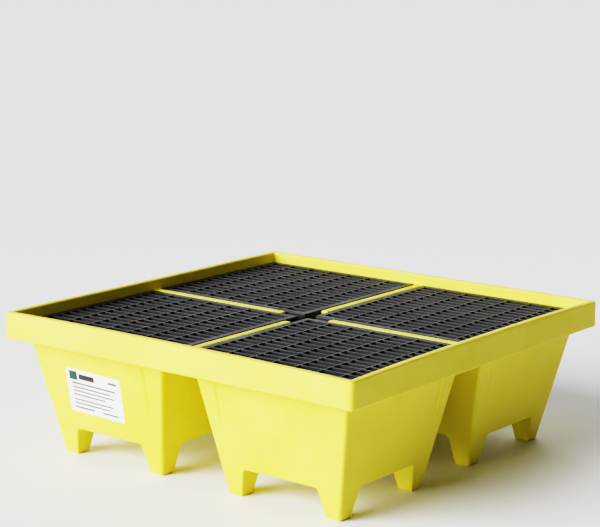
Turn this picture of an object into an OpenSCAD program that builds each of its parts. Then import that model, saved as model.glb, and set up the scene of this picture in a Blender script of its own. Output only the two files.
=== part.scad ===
// Spill containment pallet for four drums: a moulded sump with four wells on
// sixteen feet, four lift-off grates and a pedestal under each grate.
// The sump is one moulding. It is drawn as its tray, its four wells and the four
// feet under each well, which meet face to face.
// Millimetres, +Z up, origin on the floor under the centre of the pallet.

/* [Overall] */
// Width and depth of the square pallet over its skirt
pallet_w = 1283; // [1250:1:1310]
// Height from the floor to the top of the rim
pallet_h = 438; // [425:1:455]
// Wall thickness of the moulded sump
wall = 7; // [5:0.5:9]

/* [Rim and deck] */
// Height of the skirt round the deck
skirt_h = 83; // [75:1:90]
// Radius of the skirt's four upright corners
skirt_corner_r = 14; // [6:1:20]
// Thickness of the rim at its top
rim_t = 21; // [18:1:24]
// How much the recess narrows on each side from the rim's top to the ledge
rim_draft = 7; // [3:1:9]
// Depth of the deck below the top of the rim
deck_drop = 33; // [26:1:38]
// Width of the moulded ribs between the grates
rib_w = 26; // [20:1:32]
// Distance from the pallet's centre to the inner end of each rib
rib_start = 90; // [60:5:150]

/* [Wells] */
// How far the skirt stands out past the wells at its lower edge
skirt_overhang = 52.5; // [48:0.5:58]
// Gap between neighbouring wells at the skirt's lower edge
channel_w = 119; // [110:1:130]
// Slope of a well's outer faces from upright, degrees
outer_draft = 11.7; // [10:0.1:12.5]
// Slope of a well's inner faces from upright, degrees
inner_draft = 10.3; // [9:0.1:11.5]

/* [Feet] */
// Height of the fork arches between the feet
arch_h = 86; // [78:1:95]
// Width of a foot where it stands on the floor
foot_w = 50; // [44:1:56]
// Width of a foot at the height of the arch
foot_top_w = 84.5; // [76:0.5:92]

/* [Flutes] */
// Distance of each flute from the pallet's centre line
flute_pos = 136; // [120:1:160]
// Width of a flute under the skirt
flute_w = 22; // [16:1:26]
// Depth of a flute under the skirt
flute_depth = 4.5; // [3:0.5:5]
// Length over which a flute fades out, down the well
flute_len = 185; // [150:5:210]

/* [Grates] */
// Gap round each grate
grate_gap = 4; // [3:0.5:6]
// Width of the solid band round a grate
grate_band = 22; // [16:1:28]
// Thickness of a grate's bars
grate_bar = 7; // [5:0.5:10]
// Number of slots along one side of a grate
slots_long = 16; // [12:1:20]
// Number of slots across the other side of a grate
slots_cross = 7; // [5:1:9]

/* [Pedestals] */
// Radius of a pedestal's foot ring
ped_foot_r = 92; // [80:1:110]
// Radius of the pedestal's cone at its bottom
ped_low_r = 78; // [70:1:85]
// Radius of the pedestal's cone at its top
ped_top_r = 58; // [50:1:66]
// Radius of the pedestal's head plate
ped_head_r = 72; // [68:1:85]
// Wall thickness of a pedestal
ped_wall = 6; // [4:0.5:8]

/* [Label] */
// Width of the label
label_w = 215; // [150:5:240]
// Height of the label along the sloping wall
label_h = 139; // [90:1:150]
// Distance of the label's middle from the pallet's centre line
label_x = 349; // [300:1:380]
// Height of the label's middle above the floor
label_z = 213; // [190:1:230]
// Turn of the label on the wall, degrees
label_turn = -1.7; // [-3:0.1:3]
// Thickness of the label
label_t = 0.6; // [0.4:0.1:1]
// Thickness of the adhesive behind the label
adhesive_t = 0.05; // [0.03:0.01:0.1]

/* [Hidden] */
$fn = 48;

half_w = pallet_w / 2;
skirt_z = pallet_h - skirt_h;
ledge_z = skirt_z + wall;
deck_z = pallet_h - deck_drop;
recess_low = half_w - rim_t - rim_draft;
recess_top = half_w - rim_t;
well_out = half_w - skirt_overhang;
well_in = channel_w / 2;
well_floor_z = arch_h + wall;
foot_slope = (foot_top_w - foot_w) / arch_h;
over = 1;
flute_fade = 0.12;

grate_in = rib_w / 2 + grate_gap;
grate_out = recess_low - grate_gap;
grate_side = grate_out - grate_in;
grate_h = deck_z - ledge_z;

boss_r = ped_low_r - ped_wall - 4;
boss_h = 8;
foot_top_z = arch_h + 1;
ped_h = ledge_z - well_floor_z;
ped_notch_w = 36;
ped_notch_h = 22;

// Distance of a well's outer and inner face from the pallet's centre line at height z
function outer_at(z) = well_out - (skirt_z - z) * tan(outer_draft);
function inner_at(z) = well_in + (skirt_z - z) * tan(inner_draft);
// Inner sides of the two feet under a well, seen along the arch
function outer_foot_at(z) = outer_at(z) - foot_w - foot_slope * z;
function inner_foot_at(z) = inner_at(z) + foot_w + foot_slope * z;

well_mid = (outer_at(well_floor_z) + inner_at(well_floor_z)) / 2;

// Outline of one well, seen level, for x > 0
module well_outline() {
    polygon([
        [inner_at(skirt_z), skirt_z], [outer_at(skirt_z), skirt_z],
        [outer_at(arch_h), arch_h], [inner_at(arch_h), arch_h]
    ]);
}

// Outlines of the two feet seen under that well, which reach a little way up into its floor
module feet_outline() {
    top = foot_top_z;
    polygon([
        [outer_at(top), top], [outer_at(0), 0],
        [outer_foot_at(0), 0], [outer_foot_at(top), top]
    ]);
    polygon([
        [inner_at(top), top], [inner_at(0), 0],
        [inner_foot_at(0), 0], [inner_foot_at(top), top]
    ]);
}

// Outlines of the places that the feet fill in the well's underside
module socket_outline() {
    low = arch_h - over;
    top = foot_top_z;
    polygon([
        [outer_at(top) + over, top], [outer_at(top) + over, low],
        [outer_foot_at(low), low], [outer_foot_at(top), top]
    ]);
    polygon([
        [inner_at(top) - over, top], [inner_at(top) - over, low],
        [inner_foot_at(low), low], [inner_foot_at(top), top]
    ]);
}

// Outline of the hollow inside that well and its feet
module cavity_outline() {
    top = ledge_z + over;
    low = well_floor_z;
    polygon([
        [inner_at(top) + wall, top], [outer_at(top) - wall, top],
        [outer_at(wall) - wall, wall], [outer_foot_at(wall) + wall, wall],
        [outer_foot_at(low) + wall, low], [inner_foot_at(low) - wall, low],
        [inner_foot_at(wall) - wall, wall], [inner_at(wall) + wall, wall]
    ]);
}

// Outline of the recess above the ledge, full width
module recess_outline() {
    slope = rim_draft / (pallet_h - ledge_z);
    top_half = recess_top + over * slope;
    polygon([
        [-recess_low, ledge_z], [recess_low, ledge_z],
        [top_half, pallet_h + over], [-top_half, pallet_h + over]
    ]);
}

// A level outline swept both ways and kept where the two sweeps meet
module crossed() {
    intersection() {
        rotate([90, 0, 0]) linear_extrude(pallet_w, center = true) children();
        rotate([90, 0, 90]) linear_extrude(pallet_w, center = true) children();
    }
}

module rounded_slab(size, h, r) {
    for (turn = [0, 90])
        rotate(turn) translate([r - size / 2, -size / 2, 0]) cube([size - 2 * r, size, h]);
    for (x = [-1, 1], y = [-1, 1])
        translate([x * (size / 2 - r), y * (size / 2 - r), 0]) cylinder(h = h, r = r);
}

// A groove that lies along a well's sloping outer face and fades out downwards
module flute() {
    out = (flute_w * flute_w / 4 - flute_depth * flute_depth) / (2 * flute_depth);
    top_r = out + flute_depth;
    low_r = out - flute_depth * flute_fade;
    translate([flute_pos, -outer_at(skirt_z), skirt_z])
        rotate([outer_draft, 0, 0]) translate([0, -out, -flute_len])
            cylinder(h = flute_len + over, r1 = low_r, r2 = top_r);
}

// Places its children, drawn for x > 0 and y > 0, over the well at side_x, side_y
module at_corner(side_x, side_y) {
    mirror([side_x < 0 ? 1 : 0, 0, 0]) mirror([0, side_y < 0 ? 1 : 0, 0]) children();
}

module well_hollow() {
    crossed() cavity_outline();
}

module ribs() {
    rib_l = recess_top + 3 - rib_start;
    for (turn = [0 : 90 : 270])
        rotate(turn) translate([rib_start, -rib_w / 2, skirt_z])
            cube([rib_l, rib_w, deck_z - skirt_z]);
}

// Skirt, rim, ledge and ribs, open where the wells are
module sump_tray() {
    color("khaki")
        union() {
            difference() {
                translate([0, 0, skirt_z]) rounded_slab(pallet_w, skirt_h, skirt_corner_r);
                crossed() recess_outline();
                for (x = [-1, 1], y = [-1, 1])
                    at_corner(x, y) well_hollow();
            }
            ribs();
        }
}

// The walls and floor of one well
module sump_well(side_x, side_y) {
    color("khaki")
        at_corner(side_x, side_y)
            difference() {
                crossed() well_outline();
                mirror([0, 1, 0]) flute();
                rotate(90) flute();
                well_hollow();
                crossed() socket_outline();
            }
}

// The four hollow feet under one well, and the boss that keeps its pedestal in place
module sump_feet(side_x, side_y) {
    color("khaki")
        at_corner(side_x, side_y) {
            difference() {
                crossed() feet_outline();
                well_hollow();
            }
            translate([well_mid, well_mid, well_floor_z]) cylinder(h = boss_h, r = boss_r);
        }
}

// One grate in its place over the well at side_x, side_y (1 or -1 each)
module grate(side_x, side_y) {
    pitch_x = (grate_side - 2 * grate_band + grate_bar) / slots_cross;
    pitch_y = (grate_side - 2 * grate_band + grate_bar) / slots_long;
    color([0.07, 0.07, 0.07])
        at_corner(side_x, side_y)
            translate([grate_in, grate_in, ledge_z]) linear_extrude(grate_h)
                difference() {
                    square(grate_side);
                    for (i = [0 : slots_cross - 1], j = [0 : slots_long - 1])
                        translate([grate_band + i * pitch_x, grate_band + j * pitch_y])
                            square([pitch_x - grate_bar, pitch_y - grate_bar]);
                }
}

// One pedestal standing on a well's floor, open below, with notches for liquid
module pedestal(side_x, side_y) {
    color([0.1, 0.1, 0.1])
        translate([side_x * well_mid, side_y * well_mid, well_floor_z])
            difference() {
                rotate_extrude()
                    polygon([
                        [0, ped_h], [ped_head_r, ped_h], [ped_head_r, ped_h - ped_wall - 2],
                        [ped_top_r, ped_h - ped_wall - 10], [ped_low_r, ped_wall + 6],
                        [ped_foot_r, ped_wall], [ped_foot_r, 0], [ped_low_r - ped_wall, 0],
                        [ped_top_r - ped_wall, ped_h - ped_wall - 10], [0, ped_h - ped_wall - 2]
                    ]);
                for (turn = [45, 135])
                    rotate(turn) translate([-ped_foot_r - over, -ped_notch_w / 2, -over])
                        cube([2 * (ped_foot_r + over), ped_notch_w, ped_notch_h + over]);
            }
}

// The label lies flat on the sloping front face of the left well
module label() {
    color("white")
        translate([-label_x, -outer_at(label_z), label_z])
            rotate([outer_draft, 0, 0]) rotate([0, -label_turn, 0])
                translate([-label_w / 2, -label_t - adhesive_t, -label_h / 2])
                    cube([label_w, label_t, label_h]);
}

sump_tray();
sump_well(-1, -1);  // sump_well_front_left
sump_well(1, -1);  // sump_well_front_right
sump_well(-1, 1);  // sump_well_back_left
sump_well(1, 1);  // sump_well_back_right
sump_feet(-1, -1);  // sump_feet_front_left
sump_feet(1, -1);  // sump_feet_front_right
sump_feet(-1, 1);  // sump_feet_back_left
sump_feet(1, 1);  // sump_feet_back_right
grate(-1, -1);  // grate_front_left
grate(1, -1);  // grate_front_right
grate(-1, 1);  // grate_back_left
grate(1, 1);  // grate_back_right
pedestal(-1, -1);  // pedestal_front_left
pedestal(1, -1);  // pedestal_front_right
pedestal(-1, 1);  // pedestal_back_left
pedestal(1, 1);  // pedestal_back_right
label();
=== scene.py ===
"""Spill containment pallet: a moulded yellow sump, black lift-off grates, pedestals and a label."""

from math import cos, pi, radians, sin, tan

import bmesh
import bpy
from mathutils import Matrix, Vector


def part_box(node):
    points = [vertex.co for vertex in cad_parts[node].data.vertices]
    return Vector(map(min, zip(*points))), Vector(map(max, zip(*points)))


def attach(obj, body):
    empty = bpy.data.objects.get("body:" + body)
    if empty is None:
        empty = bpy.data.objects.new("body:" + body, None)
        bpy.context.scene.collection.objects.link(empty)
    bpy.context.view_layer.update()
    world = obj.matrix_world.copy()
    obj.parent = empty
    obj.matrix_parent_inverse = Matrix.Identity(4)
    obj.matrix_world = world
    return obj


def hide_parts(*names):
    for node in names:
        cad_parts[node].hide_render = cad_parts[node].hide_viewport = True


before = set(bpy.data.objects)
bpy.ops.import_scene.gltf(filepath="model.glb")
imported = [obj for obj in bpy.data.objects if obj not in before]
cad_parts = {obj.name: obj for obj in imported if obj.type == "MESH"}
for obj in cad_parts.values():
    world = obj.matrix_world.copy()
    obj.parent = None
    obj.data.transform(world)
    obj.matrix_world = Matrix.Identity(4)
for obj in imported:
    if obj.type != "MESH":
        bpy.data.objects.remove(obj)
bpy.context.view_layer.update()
MM = 0.001

# --- Camera -------------------------------------------------------------------------------
# A long lens about 5.7 m away, at head height, that looks down at the corner between the
# labelled front and the right-hand side.
CAMERA_PLACE = (3.2967, -4.3005, 1.6270)
CAMERA_TURN = 37.70
CAMERA_DIP = 11.07
CAMERA_ROLL = 0.52
CAMERA_LENS = 109.8
CAMERA_REACH = 200

camera = bpy.data.objects.new("camera", bpy.data.cameras.new("camera"))
camera.data.lens = CAMERA_LENS
camera.data.clip_end = CAMERA_REACH
camera.matrix_world = (
    Matrix.Translation(CAMERA_PLACE)
    @ Matrix.Rotation(radians(CAMERA_TURN), 4, "Z")
    @ Matrix.Rotation(radians(90 - CAMERA_DIP), 4, "X")
    @ Matrix.Rotation(radians(CAMERA_ROLL), 4, "Z")
)
bpy.context.scene.collection.objects.link(camera)
bpy.context.scene.camera = camera

# --- Sump ---------------------------------------------------------------------------------
# One rotomoulded polyethylene shell: a skirted tray with a ledge for the grates, four
# tapering wells below it and sixteen hollow feet. Every edge has the soft radius of a mould.
WELLS = ("front_left", "front_right", "back_left", "back_right")
CORNERS = ((1, 1), (-1, 1), (-1, -1), (1, -1))
tray_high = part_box("sump_tray")[1]
grate_low, grate_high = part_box("grate_front_right")
HALF_W = tray_high.x
RIM_Z = tray_high.z
LEDGE_Z = grate_low.z
DECK_Z = grate_high.z
WALL = 7 * MM
SKIRT_Z = LEDGE_Z - WALL
WELL_FLOOR_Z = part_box("pedestal_front_right")[0].z
ARCH_Z = WELL_FLOOR_Z - WALL
GRATE_GAP = 4 * MM
RECESS_LOW = grate_high.x + GRATE_GAP
RECESS_TOP = HALF_W - 21 * MM
RIM_START = RECESS_LOW - 2 * MM
RIB_HALF = grate_low.x - GRATE_GAP
RIB_START = 90 * MM
SKIRT_OVERHANG = 52.5 * MM
CHANNEL_HALF = 59.5 * MM
OUTER_LEAN = radians(11.7)
INNER_LEAN = radians(10.3)
FOOT_W = 50 * MM
FOOT_TOP_W = 84.5 * MM
BOSS_RADIUS = 68 * MM
BOSS_HEIGHT = 8 * MM
BOSS_SIDES = 48
ARCH_CORNER = 13 * MM
ARCH_STEPS = 7
SKIRT_CORNER = 14 * MM
SKIRT_STEPS = 8
# Grooves beside the channels, eight in all.
FLUTE_PLACE = 136 * MM
FLUTE_TOP_Z = SKIRT_Z + 4 * MM
FLUTE_W = 31 * MM
FLUTE_END_SHARE = 0.25
FLUTE_DEPTH = 6 * MM
FLUTE_LENGTH = 185 * MM
FLUTE_LIP = 0.1 * MM
FLUTE_BELL = 0.85
FLUTE_CUTTER_T = 30 * MM
FLUTE_LEVELS = 12
FLUTE_ACROSS = 16
# Radii of the mould.
RIM_RADIUS = 6 * MM
RECESS_CORNER_RADIUS = 11 * MM
RIB_RADIUS = 4 * MM
LEDGE_RADIUS = 3 * MM
SKIRT_EDGE_RADIUS = 7 * MM
INSIDE_RADIUS = 3 * MM
WELL_CORNER_RADIUS = 10 * MM
FOOT_RADIUS = 5 * MM
LARGEST_RADIUS = 12 * MM
RADIUS_STEPS = 3
# How the rim's long sides bend.
RIM_CUTS = 7
RIM_CUT_PITCH = 80 * MM
BOW = 10 * MM
CORNER_DROP = 3 * MM
# How far shapes run into each other, or stand clear, before they are joined or cut.
BITE = 3 * MM
SINK = 2 * MM
CLEAR = 5 * MM
# Limits that tell the sump's edges apart.
HAIR = 0.5 * MM
NEARLY_FLAT = radians(22)
UPRIGHT = 0.9
WELL_CORNER_LEAST = 200 * MM


def outer_at(z):
    """Distance of a well's outer face from the middle of the pallet."""
    return HALF_W - SKIRT_OVERHANG - (SKIRT_Z - z) * tan(OUTER_LEAN)


def inner_at(z):
    """Distance of a well's inner face from the middle of the pallet."""
    return CHANNEL_HALF + (SKIRT_Z - z) * tan(INNER_LEAN)


def foot_at(z):
    """Width of a foot."""
    return FOOT_W + (FOOT_TOP_W - FOOT_W) * z / ARCH_Z


def rounded(before, corner, after, radius, steps):
    """Points of an arc that rounds off a corner of a flat outline."""
    corner = Vector(corner)
    back = (Vector(before) - corner).normalized()
    on = (Vector(after) - corner).normalized()
    half = back.angle(on) / 2
    centre = corner + (back + on).normalized() * radius / sin(half)
    spoke = corner + back * radius / tan(half) - centre
    turn = pi - 2 * half
    if back.cross(on) > 0:
        turn = -turn
    return [centre + Matrix.Rotation(turn * k / steps, 2) @ spoke for k in range(steps + 1)]


def rounded_rectangle(half_x, half_y, radius, steps):
    """Outline of a rectangle about the middle, with its four corners rounded."""
    corners = [(sx * half_x, sy * half_y) for sx, sy in CORNERS]
    outline = []
    for k in range(4):
        outline += rounded(corners[k - 1], corners[k], corners[(k + 1) % 4], radius, steps)
    return outline


def well_outline(top):
    """A well and its two feet, seen level."""
    low_out = (outer_at(0) - foot_at(0), 0)
    high_out = (outer_at(ARCH_Z) - foot_at(ARCH_Z), ARCH_Z)
    high_in = (inner_at(ARCH_Z) + foot_at(ARCH_Z), ARCH_Z)
    low_in = (inner_at(0) + foot_at(0), 0)
    return [
        (inner_at(top), top), (outer_at(top), top), (outer_at(0), 0), low_out,
        *rounded(low_out, high_out, high_in, ARCH_CORNER, ARCH_STEPS),
        *rounded(high_out, high_in, low_in, ARCH_CORNER, ARCH_STEPS),
        low_in, (inner_at(0), 0),
    ]


def hollow_outline(top):
    """The hollow inside a well and its two feet."""
    def outer_foot(z):
        return outer_at(z) - foot_at(z) + WALL

    def inner_foot(z):
        return inner_at(z) + foot_at(z) - WALL

    return [
        (inner_at(top) + WALL, top), (outer_at(top) - WALL, top),
        (outer_at(WALL) - WALL, WALL), (outer_foot(WALL), WALL),
        (outer_foot(WELL_FLOOR_Z), WELL_FLOOR_Z), (inner_foot(WELL_FLOOR_Z), WELL_FLOOR_Z),
        (inner_foot(WALL), WALL), (inner_at(WALL) + WALL, WALL),
    ]


def new_piece(name, form):
    """Turns a bmesh into an object whose faces point outwards."""
    bmesh.ops.recalc_face_normals(form, faces=form.faces)
    mesh = bpy.data.meshes.new(name)
    form.to_mesh(mesh)
    form.free()
    piece = bpy.data.objects.new(name, mesh)
    bpy.context.scene.collection.objects.link(piece)
    return piece


def add_prism(form, near, far):
    """Adds a closed prism between two outlines of the same number of points."""
    start = [form.verts.new(p) for p in near]
    end = [form.verts.new(p) for p in far]
    form.faces.new(start)
    form.faces.new(end)
    for k in range(len(start)):
        form.faces.new((start[k - 1], start[k], end[k], end[k - 1]))


def add_upright(form, outline, low, high):
    """Adds an upright prism over an outline seen from above."""
    add_prism(form, [(x, y, low) for x, y in outline], [(x, y, high) for x, y in outline])


def add_box(form, low, high):
    """Adds a box between two opposite corners."""
    outline = [(low[0], low[1]), (high[0], low[1]), (high[0], high[1]), (low[0], high[1])]
    add_upright(form, outline, low[2], high[2])


def finished(piece):
    """Replaces a piece's mesh by what its modifiers make of it."""
    evaluated = piece.evaluated_get(bpy.context.evaluated_depsgraph_get())
    mesh = bpy.data.meshes.new_from_object(evaluated)
    piece.modifiers.clear()
    piece.data = mesh
    return piece


def combined(piece, other, operation):
    """Joins a second shape to a piece, cuts it away, or keeps what the two share."""
    step = piece.modifiers.new(operation.lower(), "BOOLEAN")
    step.operation = operation
    step.solver = "EXACT"
    step.object = other
    finished(piece)
    bpy.data.objects.remove(other)
    return piece


def crossed(name, outline):
    """Sweeps an outline along X and along Y, on both sides, and keeps what the sweeps share."""
    sweeps = []
    for along in "xy":
        form = bmesh.new()
        for side in (-1, 1):
            ends = []
            for far in (-HALF_W, HALF_W):
                if along == "x":
                    ends.append([(far, side * u, z) for u, z in outline])
                else:
                    ends.append([(side * u, far, z) for u, z in outline])
            add_prism(form, *ends)
        sweeps.append(new_piece(name, form))
    return combined(*sweeps, "INTERSECT")


def flute_ring(side, left, z):
    """One level of a groove's cutter, with the given part of its length left below it."""
    middle = side * FLUTE_PLACE
    half = FLUTE_W / 2 * (FLUTE_END_SHARE + (1 - FLUTE_END_SHARE) * left)
    back = -FLUTE_CUTTER_T - outer_at(z)
    ring = []
    for k in range(FLUTE_ACROSS + 1):
        u = -1 + 2 * k / FLUTE_ACROSS
        bell = (0.5 + 0.5 * cos(pi * u)) ** FLUTE_BELL
        depth = (FLUTE_DEPTH * left + FLUTE_LIP) * bell - FLUTE_LIP
        ring.append((middle + u * half, depth - outer_at(z), z))
    return ring + [(middle + half, back, z), (middle - half, back, z)]


def flutes():
    """Cutters for eight tapering grooves with soft lips, two on each outer side of the wells."""
    form = bmesh.new()
    for quarter in range(4):
        turned = Matrix.Rotation(quarter * pi / 2, 3, "Z")
        for side in (-1, 1):
            rings = []
            for level in range(FLUTE_LEVELS + 1):
                gone = level / FLUTE_LEVELS
                ring = flute_ring(side, 1 - gone, FLUTE_TOP_Z - FLUTE_LENGTH * gone)
                rings.append([form.verts.new(turned @ Vector(p)) for p in ring])
            form.faces.new(rings[0])
            form.faces.new(rings[-1])
            for upper, lower in zip(rings, rings[1:]):
                for k in range(len(upper)):
                    form.faces.new((upper[k - 1], upper[k], lower[k], lower[k - 1]))
    return new_piece("flutes", form)


def skirt_slab():
    """The solid block that the skirt, the rim and the ledge are cut from."""
    form = bmesh.new()
    outline = rounded_rectangle(HALF_W, HALF_W, SKIRT_CORNER, SKIRT_STEPS)
    add_upright(form, outline, SKIRT_Z, RIM_Z)
    return new_piece("skirt", form)


def recess():
    """The opening inside the rim, wider at the top than at the ledge."""
    above = RIM_Z + CLEAR
    top = RECESS_TOP + (RECESS_TOP - RECESS_LOW) * (above - RIM_Z) / (RIM_Z - LEDGE_Z)
    form = bmesh.new()
    add_prism(form, [(sx * RECESS_LOW, sy * RECESS_LOW, LEDGE_Z) for sx, sy in CORNERS],
              [(sx * top, sy * top, above) for sx, sy in CORNERS])
    return new_piece("recess", form)


def ribs():
    """Four low walls that part the grates, open at the middle of the deck."""
    end = RECESS_TOP + BITE
    low = SKIRT_Z + SINK
    form = bmesh.new()
    spans = ((RIB_START, end), (-end, -RIB_START))
    for near, far in spans:
        add_box(form, (near, -RIB_HALF, low), (far, RIB_HALF, DECK_Z))
    for near, far in spans:
        add_box(form, (-RIB_HALF, near, low), (RIB_HALF, far, DECK_Z))
    return new_piece("ribs", form)


def bosses():
    """Round bosses on the wells' floors, one inside each pedestal's foot."""
    middle = (outer_at(WELL_FLOOR_Z) + inner_at(WELL_FLOOR_Z)) / 2
    turns = [2 * pi * k / BOSS_SIDES for k in range(BOSS_SIDES)]
    form = bmesh.new()
    for x in (-middle, middle):
        for y in (-middle, middle):
            rim = [(x + BOSS_RADIUS * cos(t), y + BOSS_RADIUS * sin(t)) for t in turns]
            add_upright(form, rim, ARCH_Z + SINK, WELL_FLOOR_Z + BOSS_HEIGHT)
    return new_piece("bosses", form)


def edge_radius(edge):
    """The mould's radius on an edge of the sump, or 0 where two faces meet almost flat."""
    if len(edge.link_faces) != 2 or edge.calc_face_angle(0) < NEARLY_FLAT:
        return 0
    first, second = (v.co for v in edge.verts)
    middle = (first + second) / 2
    upright = abs((second - first).normalized().z) > UPRIGHT
    reach = max(abs(middle.x), abs(middle.y))
    if middle.z > RIM_Z - HAIR:
        return RIM_RADIUS
    if middle.z > SKIRT_Z + HAIR:
        if upright and reach > RIM_START:
            return RECESS_CORNER_RADIUS
        return RIB_RADIUS if middle.z > DECK_Z - HAIR else LEDGE_RADIUS
    if middle.z > SKIRT_Z - HAIR:
        return SKIRT_EDGE_RADIUS if reach > HALF_W - 2 * MM else 0
    if all(f.normal.z > 0.1 or f.normal.z > 0 and f.calc_center_median().z > middle.z
           for f in edge.link_faces):
        return INSIDE_RADIUS
    if upright and edge.calc_length() > WELL_CORNER_LEAST:
        return WELL_CORNER_RADIUS
    return FOOT_RADIUS


def on_rim(place):
    """Whether a point lies out past the recess."""
    return max(abs(place.x), abs(place.y)) > RIM_START


def split_rim(form):
    """Cuts the rim's long faces across at an even pitch, so that they can bend."""
    for k in range(-RIM_CUTS, RIM_CUTS + 1):
        for across in (Vector((1, 0, 0)), Vector((0, 1, 0))):
            faces = [f for f in form.faces
                     if all(v.co.z > SKIRT_Z - 1 * MM and on_rim(v.co) for v in f.verts)]
            edges = {e for f in faces for e in f.edges}
            verts = {v for f in faces for v in f.verts}
            bmesh.ops.bisect_plane(form, geom=[*verts, *edges, *faces], dist=0.01 * MM,
                                   plane_co=across * (k * RIM_CUT_PITCH), plane_no=across)


def lean_rim(form):
    """Leans the rim's long sides in and drops its corners, as the moulding does when it cools."""
    for vert in form.verts:
        up = (vert.co.z - SKIRT_Z) / (RIM_Z - SKIRT_Z)
        x, y = vert.co.x, vert.co.y
        if up <= 0 or not on_rim(vert.co):
            continue
        if abs(x) > RIM_START:
            vert.co.x -= BOW * up * (1 - (y / HALF_W) ** 2) * (1 if x > 0 else -1)
        if abs(y) > RIM_START:
            vert.co.y -= BOW * up * (1 - (x / HALF_W) ** 2) * (1 if y > 0 else -1)
        vert.co.z -= CORNER_DROP * up * (x * y / HALF_W ** 2) ** 4


sump = crossed("sump", well_outline(SKIRT_Z + BITE))
combined(sump, flutes(), "DIFFERENCE")
combined(sump, skirt_slab(), "UNION")
combined(sump, recess(), "DIFFERENCE")
combined(sump, crossed("hollow", hollow_outline(LEDGE_Z + BITE)), "DIFFERENCE")
combined(sump, ribs(), "UNION")
combined(sump, bosses(), "UNION")

form = bmesh.new()
form.from_mesh(sump.data)
bmesh.ops.remove_doubles(form, verts=form.verts, dist=0.02 * MM)
bmesh.ops.dissolve_limit(form, angle_limit=radians(0.5), verts=form.verts, edges=form.edges)
split_rim(form)
weight = form.edges.layers.float.new("bevel_weight_edge")
for edge in form.edges:
    edge[weight] = edge_radius(edge) / LARGEST_RADIUS
lean_rim(form)
form.to_mesh(sump.data)
form.free()
rounding = sump.modifiers.new("mould radii", "BEVEL")
rounding.width = LARGEST_RADIUS
rounding.limit_method = "WEIGHT"
rounding.segments = RADIUS_STEPS
rounding.use_clamp_overlap = False
finished(sump)


def plug(made, socket, value):
    """Joins a shader input to another socket, or sets its value."""
    if isinstance(value, bpy.types.NodeSocket):
        made.node_tree.links.new(value, socket)
    else:
        socket.default_value = value


def add_node(made, kind, settings=(), **inputs):
    """Adds a shader node to a material and joins or sets its inputs."""
    fresh = made.node_tree.nodes.new("ShaderNode" + kind)
    for name, value in dict(settings).items():
        setattr(fresh, name, value)
    for name, value in inputs.items():
        plug(made, fresh.inputs[name.replace("_", " ")], value)
    return fresh


def noise(made, place, scale, detail, roughness=0.5):
    """An uneven pattern: the scale sets how small it is."""
    return add_node(made, "TexNoise", Vector=place, Scale=scale, Detail=detail,
                    Roughness=roughness).outputs[0]


def spread(made, value, low, high, first=0.0, last=1.0):
    """Maps the span from low to high onto the span from first to last."""
    return add_node(made, "MapRange", Value=value, From_Min=low, From_Max=high,
                    To_Min=first, To_Max=last).outputs[0]


def blended(made, factor, first, second):
    """Mixes two colours by a factor."""
    mix = add_node(made, "Mix", {"data_type": "RGBA"})
    # The factor and the two colours; the sockets between them belong to other kinds of value.
    for value, socket in ((factor, mix.inputs[0]), (first, mix.inputs[6]), (second, mix.inputs[7])):
        plug(made, socket, value)
    return mix.outputs[2]


def polyethylene(name, deep, pale, scuffed, gloss, dull, grain, ripple):
    """Coloured polyethylene: cloudy pigment, rubbed patches, uneven gloss, grain and ripples."""
    made = bpy.data.materials.new(name)
    made.use_nodes = True
    shader = made.node_tree.nodes["Principled BSDF"]
    shader.inputs["Specular IOR Level"].default_value = 0.25
    place = add_node(made, "TexCoord").outputs["Object"]

    cloud = noise(made, place, scale=3.1, detail=4.0, roughness=0.6)
    tone = blended(made, spread(made, cloud, 0.3, 0.7), (*deep, 1), (*pale, 1))
    speck = noise(made, place, scale=160.0, detail=2.0)
    tone = blended(made, spread(made, speck, 0.56, 0.8, last=0.4), tone, (*deep, 1))

    # Rubbing runs in level streaks and is strongest near the floor.
    stretched = add_node(made, "Mapping", Vector=place, Scale=(1.0, 1.0, 5.0)).outputs[0]
    rub = noise(made, stretched, scale=17.0, detail=9.0, roughness=0.72)
    height = add_node(made, "SeparateXYZ", Vector=place).outputs["Z"]
    low_down = spread(made, height, 0.01, 0.13, first=1.0, last=0.12)
    worn = add_node(made, "Math", {"operation": "MULTIPLY"})
    plug(made, worn.inputs[0], spread(made, rub, 0.56, 0.72, last=0.5))
    plug(made, worn.inputs[1], low_down)
    tone = blended(made, worn.outputs[0], tone, (*scuffed, 1))
    plug(made, shader.inputs["Base Color"], tone)

    patches = noise(made, place, scale=11.0, detail=5.0, roughness=0.65)
    plug(made, shader.inputs["Roughness"], spread(made, patches, 0.3, 0.7, gloss, dull))
    waves = noise(made, place, scale=19.0, detail=2.0, roughness=0.4)
    pores = noise(made, place, scale=520.0, detail=3.0, roughness=0.6)
    slow = add_node(made, "Bump", Height=waves, Distance=ripple)
    fine = add_node(made, "Bump", Height=pores, Distance=grain, Normal=slow.outputs[0])
    plug(made, shader.inputs["Normal"], fine.outputs[0])
    return made


SMOOTH_UP_TO = radians(40)


def dressed(piece, made):
    """Gives a piece one material and a moulded part's smooth shading."""
    piece.data.materials.clear()
    piece.data.materials.append(made)
    for face in piece.data.polygons:
        face.use_smooth = True
    piece.data.set_sharp_from_angle(angle=SMOOTH_UP_TO)
    evening = piece.modifiers.new("even shading", "WEIGHTED_NORMAL")
    evening.keep_sharp = True
    return finished(piece)


YELLOW_DEEP = (0.755, 0.630, 0.046)
YELLOW_PALE = (0.830, 0.700, 0.076)
YELLOW_SCUFFED = (0.80, 0.76, 0.20)
dressed(sump, polyethylene(
    "moulded yellow polyethylene", YELLOW_DEEP, YELLOW_PALE, YELLOW_SCUFFED,
    gloss=0.40, dull=0.56, grain=0.5 * MM, ripple=2.2 * MM))
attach(sump, "base")
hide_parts("sump_tray", *("sump_well_" + well for well in WELLS),
            *("sump_feet_" + well for well in WELLS))

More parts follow.
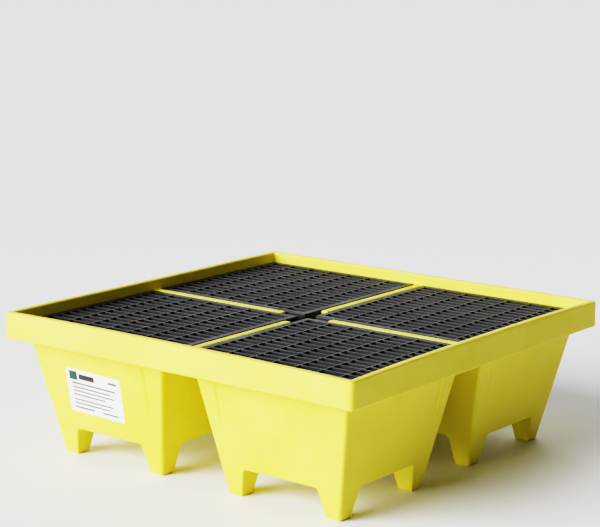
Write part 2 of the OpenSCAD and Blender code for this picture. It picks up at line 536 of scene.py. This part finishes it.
# --- Label --------------------------------------------------------------------------------
# A thin sheet of white vinyl, stuck a little askew on the sloping front of the left well. A
# plain green block and grey bars stand where such labels are printed.
LABEL_W = 215 * MM
LABEL_H = 139 * MM
LABEL_X = -349 * MM
LABEL_Z = 213 * MM
LABEL_TURN = radians(1.7)
LABEL_T = 0.4 * MM
LABEL_CORNER = 5 * MM
LABEL_STEPS = 6
ADHESIVE_T = 0.05 * MM
LABEL_FACE_Y = -ADHESIVE_T - LABEL_T
INK_T = 0.15 * MM
WHITE, GREEN, GREY, DARK = range(4)
# Left, lower, right and upper edge of each printed block, in millimetres from the middle.
INK_BLOCKS = (
    (-96, 35, -64, 63, GREEN), (-58, 40, 4, 57, DARK), (58, 46, 92, 54, GREY),
    (-88, 22, 84, 28, GREY), (-88, 9, 62, 14, GREY), (-88, -3, 78, 2, GREY),
    (-88, -15, 40, -10, GREY), (-88, -31, 70, -26, GREY), (-88, -43, 54, -38, GREY),
    (-88, -57, -10, -51, GREY), (22, -57, 84, -51, GREY),
)


def add_sheet(form, outline, back_y, face_y):
    """Adds a flat sheet over an outline seen from the front."""
    add_prism(form, [(x, back_y, z) for x, z in outline], [(x, face_y, z) for x, z in outline])


label_form = bmesh.new()
sheet = rounded_rectangle(LABEL_W / 2, LABEL_H / 2, LABEL_CORNER, LABEL_STEPS)
add_sheet(label_form, sheet, -ADHESIVE_T, LABEL_FACE_Y)
finish_of = [WHITE] * len(label_form.faces)
for *edges, ink in INK_BLOCKS:
    left, lower, right, upper = (edge * MM for edge in edges)
    block = [(left, lower), (right, lower), (right, upper), (left, upper)]
    add_sheet(label_form, block, LABEL_FACE_Y + INK_T / 2, LABEL_FACE_Y - INK_T)
    finish_of += [ink] * (len(label_form.faces) - len(finish_of))
for face, finish in zip(label_form.faces, finish_of):
    face.material_index = finish
label_form.transform(
    Matrix.Translation((LABEL_X, -outer_at(LABEL_Z), LABEL_Z))
    @ Matrix.Rotation(OUTER_LEAN, 4, "X")
    @ Matrix.Rotation(LABEL_TURN, 4, "Y")
)
label = new_piece("label_sheet", label_form)


def printed(name, deep, pale, roughness):
    """Vinyl or ink with a faint cloudiness and the slight pebbling of a stuck sheet."""
    made = bpy.data.materials.new(name)
    made.use_nodes = True
    shader = made.node_tree.nodes["Principled BSDF"]
    shader.inputs["Roughness"].default_value = roughness
    place = add_node(made, "TexCoord").outputs["Object"]
    cloud = noise(made, place, scale=24.0, detail=4.0)
    tone = blended(made, spread(made, cloud, 0.3, 0.7), (*deep, 1), (*pale, 1))
    plug(made, shader.inputs["Base Color"], tone)
    pebble = noise(made, place, scale=90.0, detail=3.0)
    bump = add_node(made, "Bump", Height=pebble, Distance=0.2 * MM)
    plug(made, shader.inputs["Normal"], bump.outputs[0])
    return made


for made in (printed("white vinyl", (0.80, 0.80, 0.76), (0.86, 0.86, 0.83), 0.38),
             printed("green ink", (0.003, 0.030, 0.015), (0.006, 0.045, 0.023), 0.42),
             printed("grey ink", (0.07, 0.08, 0.08), (0.11, 0.12, 0.12), 0.45),
             printed("dark ink", (0.010, 0.011, 0.011), (0.016, 0.017, 0.017), 0.45)):
    label.data.materials.append(made)
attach(label, "base")
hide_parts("label")

# --- Pedestals ----------------------------------------------------------------------------
# Four hollow tapering columns of black polyethylene. Each stands loose on a well's floor,
# holds up the middle of its grate, and has notches in its foot for liquid to pass.
FOOT_R = 92 * MM
LOW_R = 78 * MM
TOP_R = 58 * MM
HEAD_R = 72 * MM
PEDESTAL_WALL = 6 * MM
HEAD_T = 8 * MM
NECK_DROP = 16 * MM
ANKLE_Z = 12 * MM
NOTCH_W = 36 * MM
NOTCH_H = 22 * MM
NOTCH_TURNS = (45, 135)
PEDESTAL_RADIUS = 1.8 * MM
SPIN_STEPS = 72
BLACK_DEEP = (0.016, 0.016, 0.017)
BLACK_PALE = (0.026, 0.026, 0.027)
BLACK_SCUFFED = (0.075, 0.075, 0.078)
pedestal_plastic = polyethylene(
    "black pedestal polyethylene", BLACK_DEEP, BLACK_PALE, BLACK_SCUFFED,
    gloss=0.46, dull=0.62, grain=0.2 * MM, ripple=0.8 * MM)


def pedestal(well):
    """Spins a column's profile, cuts the notches in its foot and stands it in its well."""
    low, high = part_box("pedestal_" + well)
    tall = high.z - low.z
    profile = [
        (0, tall), (HEAD_R, tall), (HEAD_R, tall - HEAD_T), (TOP_R, tall - NECK_DROP),
        (LOW_R, ANKLE_Z), (FOOT_R, PEDESTAL_WALL), (FOOT_R, 0), (LOW_R - PEDESTAL_WALL, 0),
        (TOP_R - PEDESTAL_WALL, tall - NECK_DROP), (0, tall - HEAD_T),
    ]
    form = bmesh.new()
    points = [form.verts.new((r, 0, z)) for r, z in profile]
    edges = [form.edges.new(pair) for pair in zip(points, points[1:])]
    bmesh.ops.spin(form, geom=points + edges, axis=(0, 0, 1), cent=(0, 0, 0),
                   steps=SPIN_STEPS, angle=2 * pi)
    bmesh.ops.remove_doubles(form, verts=form.verts, dist=0.01 * MM)
    column = new_piece("pedestal_column_" + well, form)
    reach = FOOT_R + SINK
    for turn in NOTCH_TURNS:
        notch = bmesh.new()
        add_box(notch, (-reach, -NOTCH_W / 2, -SINK), (reach, NOTCH_W / 2, NOTCH_H))
        notch.transform(Matrix.Rotation(radians(turn), 4, "Z"))
        combined(column, new_piece("notch", notch), "DIFFERENCE")
    softened = column.modifiers.new("moulded edges", "BEVEL")
    softened.width = PEDESTAL_RADIUS
    softened.segments = 2
    softened.limit_method = "ANGLE"
    softened.angle_limit = radians(32)
    finished(column)
    column.data.transform(
        Matrix.Translation(((low.x + high.x) / 2, (low.y + high.y) / 2, low.z)))
    return column


for well in WELLS:
    column = dressed(pedestal(well), pedestal_plastic)
    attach(column, "lifted_pedestal_" + well)
    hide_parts("pedestal_" + well)

# --- Grates -------------------------------------------------------------------------------
# Four square black grates, one over each well, that lie loose on the ledge. Each is one
# moulding: a broad edge band round seven by sixteen slots, with soft lips on every opening.
GRATE_SIDE = grate_high.x - grate_low.x
GRATE_T = grate_high.z - grate_low.z
GRATE_BAND = 22 * MM
GRATE_BAR = 7 * MM
SLOTS_ACROSS = 7
SLOTS_ALONG = 16
PITCH_X = (GRATE_SIDE - 2 * GRATE_BAND + GRATE_BAR) / SLOTS_ACROSS
PITCH_Y = (GRATE_SIDE - 2 * GRATE_BAND + GRATE_BAR) / SLOTS_ALONG
SLOT_CORNER = 5 * MM
SLOT_LIP = 1.7 * MM
GRATE_CORNER = 9 * MM
GRATE_LIP = 3.2 * MM
CORNER_STEPS = 4
LIP_STEPS = 3


def corner_arcs(half_x, half_y, corner):
    """Points of a rounded rectangle, one list for each corner."""
    arcs = []
    for k, (sx, sy) in enumerate(CORNERS):
        turns = [(k + q / CORNER_STEPS) * pi / 2 for q in range(CORNER_STEPS + 1)]
        arcs.append([(sx * (half_x - corner) + corner * cos(turn),
                      sy * (half_y - corner) + corner * sin(turn)) for turn in turns])
    return arcs


def lipped(name, half_x, half_y, corner, lip, outward, field, counts):
    """A rounded opening or rim with soft lips, joined to a rectangle of points on both faces."""
    stations = []
    for k in range(LIP_STEPS + 1):
        bend = k * pi / 2 / LIP_STEPS
        stations.append((lip * (1 - sin(bend)), GRATE_T / 2 - lip * (1 - cos(bend))))
    stations += [(shift, -z) for shift, z in reversed(stations)]
    form = bmesh.new()
    rings = []
    for shift, z in stations:
        shift *= -1 if outward else 1
        arcs = corner_arcs(half_x + shift, half_y + shift, corner + shift)
        rings.append([[form.verts.new((x, y, z)) for x, y in arc] for arc in arcs])
    for upper, lower in zip(rings, rings[1:]):
        top, under = sum(upper, []), sum(lower, [])
        for k in range(len(top)):
            form.faces.new((top[k - 1], top[k], under[k], under[k - 1]))
    for arcs, z in ((rings[0], GRATE_T / 2), (rings[-1], -GRATE_T / 2)):
        corners = [form.verts.new((sx * field[0], sy * field[1], z)) for sx, sy in CORNERS]
        for k in range(4):
            start, end = corners[k - 1], corners[k]
            count = counts[0] if k % 2 else counts[1]
            between = [form.verts.new(start.co.lerp(end.co, q / count)) for q in range(1, count)]
            form.faces.new([start, *between, end, arcs[k][0], arcs[k - 1][-1]])
            for q in range(CORNER_STEPS):
                form.faces.new((corners[k], arcs[k][q], arcs[k][q + 1]))
    return new_piece(name, form)


slot_cell = lipped("slot_cell", (PITCH_X - GRATE_BAR) / 2, (PITCH_Y - GRATE_BAR) / 2,
                   SLOT_CORNER, SLOT_LIP, False, (PITCH_X / 2, PITCH_Y / 2), (1, 1))
edge_band = lipped("edge_band", GRATE_SIDE / 2, GRATE_SIDE / 2, GRATE_CORNER, GRATE_LIP, True,
                   (PITCH_X * SLOTS_ACROSS / 2, PITCH_Y * SLOTS_ALONG / 2),
                   (SLOTS_ACROSS, SLOTS_ALONG))
grate_plastic = polyethylene(
    "black grate polyethylene", BLACK_DEEP, BLACK_PALE, BLACK_SCUFFED,
    gloss=0.40, dull=0.58, grain=0.25 * MM, ripple=0.7 * MM)

tree = bpy.data.node_groups.new("grate slots", "GeometryNodeTree")
GRATE_INPUTS = (
    ("Slot Cell", "NodeSocketObject", slot_cell),
    ("Edge Band", "NodeSocketObject", edge_band),
    ("Slots Across", "NodeSocketInt", SLOTS_ACROSS),
    ("Slots Along", "NodeSocketInt", SLOTS_ALONG),
    ("Field Width", "NodeSocketFloat", PITCH_X * (SLOTS_ACROSS - 1)),
    ("Field Length", "NodeSocketFloat", PITCH_Y * (SLOTS_ALONG - 1)),
    ("Weld Distance", "NodeSocketFloat", 0.05 * MM),
    ("Plastic", "NodeSocketMaterial", grate_plastic),
)
identifiers = {}
tree.interface.new_socket("Geometry", in_out="INPUT", socket_type="NodeSocketGeometry")
for name, kind, value in GRATE_INPUTS:
    fresh = tree.interface.new_socket(name, in_out="INPUT", socket_type=kind)
    identifiers[name] = fresh.identifier
tree.interface.new_socket("Geometry", in_out="OUTPUT", socket_type="NodeSocketGeometry")
given = tree.nodes.new("NodeGroupInput").outputs


def tree_node(kind, **inputs):
    """Adds a node to the grate's tree and joins its inputs."""
    fresh = tree.nodes.new("GeometryNode" + kind)
    for name, socket in inputs.items():
        tree.links.new(socket, fresh.inputs[name.replace("_", " ")])
    return fresh


field = tree_node("MeshGrid", Size_X=given["Field Width"], Size_Y=given["Field Length"],
                  Vertices_X=given["Slots Across"], Vertices_Y=given["Slots Along"])
cell_info = tree_node("ObjectInfo", Object=given["Slot Cell"])
band_info = tree_node("ObjectInfo", Object=given["Edge Band"])
repeated = tree_node("InstanceOnPoints", Points=field.outputs["Mesh"],
                     Instance=cell_info.outputs["Geometry"])
together = tree_node("JoinGeometry", Geometry=repeated.outputs[0])
tree.links.new(band_info.outputs["Geometry"], together.inputs[0])
real = tree_node("RealizeInstances", Geometry=together.outputs[0])
welded = tree_node("MergeByDistance", Geometry=real.outputs[0], Distance=given["Weld Distance"])
painted = tree_node("SetMaterial", Geometry=welded.outputs[0], Material=given["Plastic"])
tree.links.new(painted.outputs[0], tree.nodes.new("NodeGroupOutput").inputs[0])

for well in WELLS:
    low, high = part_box("grate_" + well)
    grate = new_piece("grate_moulding_" + well, bmesh.new())
    slots = grate.modifiers.new("slots", "NODES")
    slots.node_group = tree
    for name, kind, value in GRATE_INPUTS:
        slots[identifiers[name]] = value
    finished(grate)
    form = bmesh.new()
    form.from_mesh(grate.data)
    bmesh.ops.recalc_face_normals(form, faces=form.faces)
    form.transform(Matrix.Translation((low + high) / 2))
    form.to_mesh(grate.data)
    form.free()
    dressed(grate, grate_plastic)
    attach(grate, "lifted_grate_" + well)
    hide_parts("grate_" + well)
bpy.data.objects.remove(slot_cell)
bpy.data.objects.remove(edge_band)

# --- Floor and light ----------------------------------------------------------------------
# A wide pale floor, strong soft light from the front left, and weak light from the back right,
# the back left and above. The backdrop looks as pale as the floor but gives hardly any light.
FLOOR_HALF = 60
FLOOR_SHADE = (0.93, 0.93, 0.93)
BACKDROP_LIGHT = 0.03
BACKDROP_LOOK = 1.0

floor_form = bmesh.new()
floor_form.faces.new([floor_form.verts.new((sx * FLOOR_HALF, sy * FLOOR_HALF, 0))
                      for sx, sy in CORNERS])
floor = new_piece("floor", floor_form)
floor_paint = bpy.data.materials.new("pale floor")
floor_paint.use_nodes = True
shader = floor_paint.node_tree.nodes["Principled BSDF"]
shader.inputs["Base Color"].default_value = (*FLOOR_SHADE, 1)
shader.inputs["Roughness"].default_value = 0.7
floor.data.materials.append(floor_paint)


def add_light(name, kind, place, power, size):
    """Adds a lamp aimed at the pallet: its size is a sun's spread in degrees or a panel's side."""
    lamp = bpy.data.lights.new(name, kind)
    lamp.energy = power
    if kind == "SUN":
        lamp.angle = radians(size)
    else:
        lamp.size = size
    holder = bpy.data.objects.new(name, lamp)
    aim = Vector(place).to_track_quat("Z", "Y").to_matrix().to_4x4()
    holder.matrix_world = Matrix.Translation(place) @ aim
    bpy.context.scene.collection.objects.link(holder)


add_light("key", "SUN", (-2.3, -4.6, 1.8), 8.3, 50)
add_light("side", "SUN", (2.6, 1.9, 0.95), 0.15, 45)
add_light("back", "SUN", (-3.4, 4.2, 2.6), 1.0, 60)
add_light("top", "AREA", (0, 0, 4.5), 35, 4.0)
world = bpy.data.worlds.new("studio")
world.use_nodes = True
backdrop = world.node_tree.nodes["Background"]
backdrop.inputs["Color"].default_value = (1, 1, 1, 1)
seen = add_node(world, "LightPath").outputs["Is Camera Ray"]
plug(world, backdrop.inputs["Strength"],
     spread(world, seen, 0.0, 1.0, BACKDROP_LIGHT, BACKDROP_LOOK))
bpy.context.scene.world = world
bpy.context.scene.view_settings.view_transform = "Filmic"
bpy.context.scene.view_settings.look = "Very High Contrast"
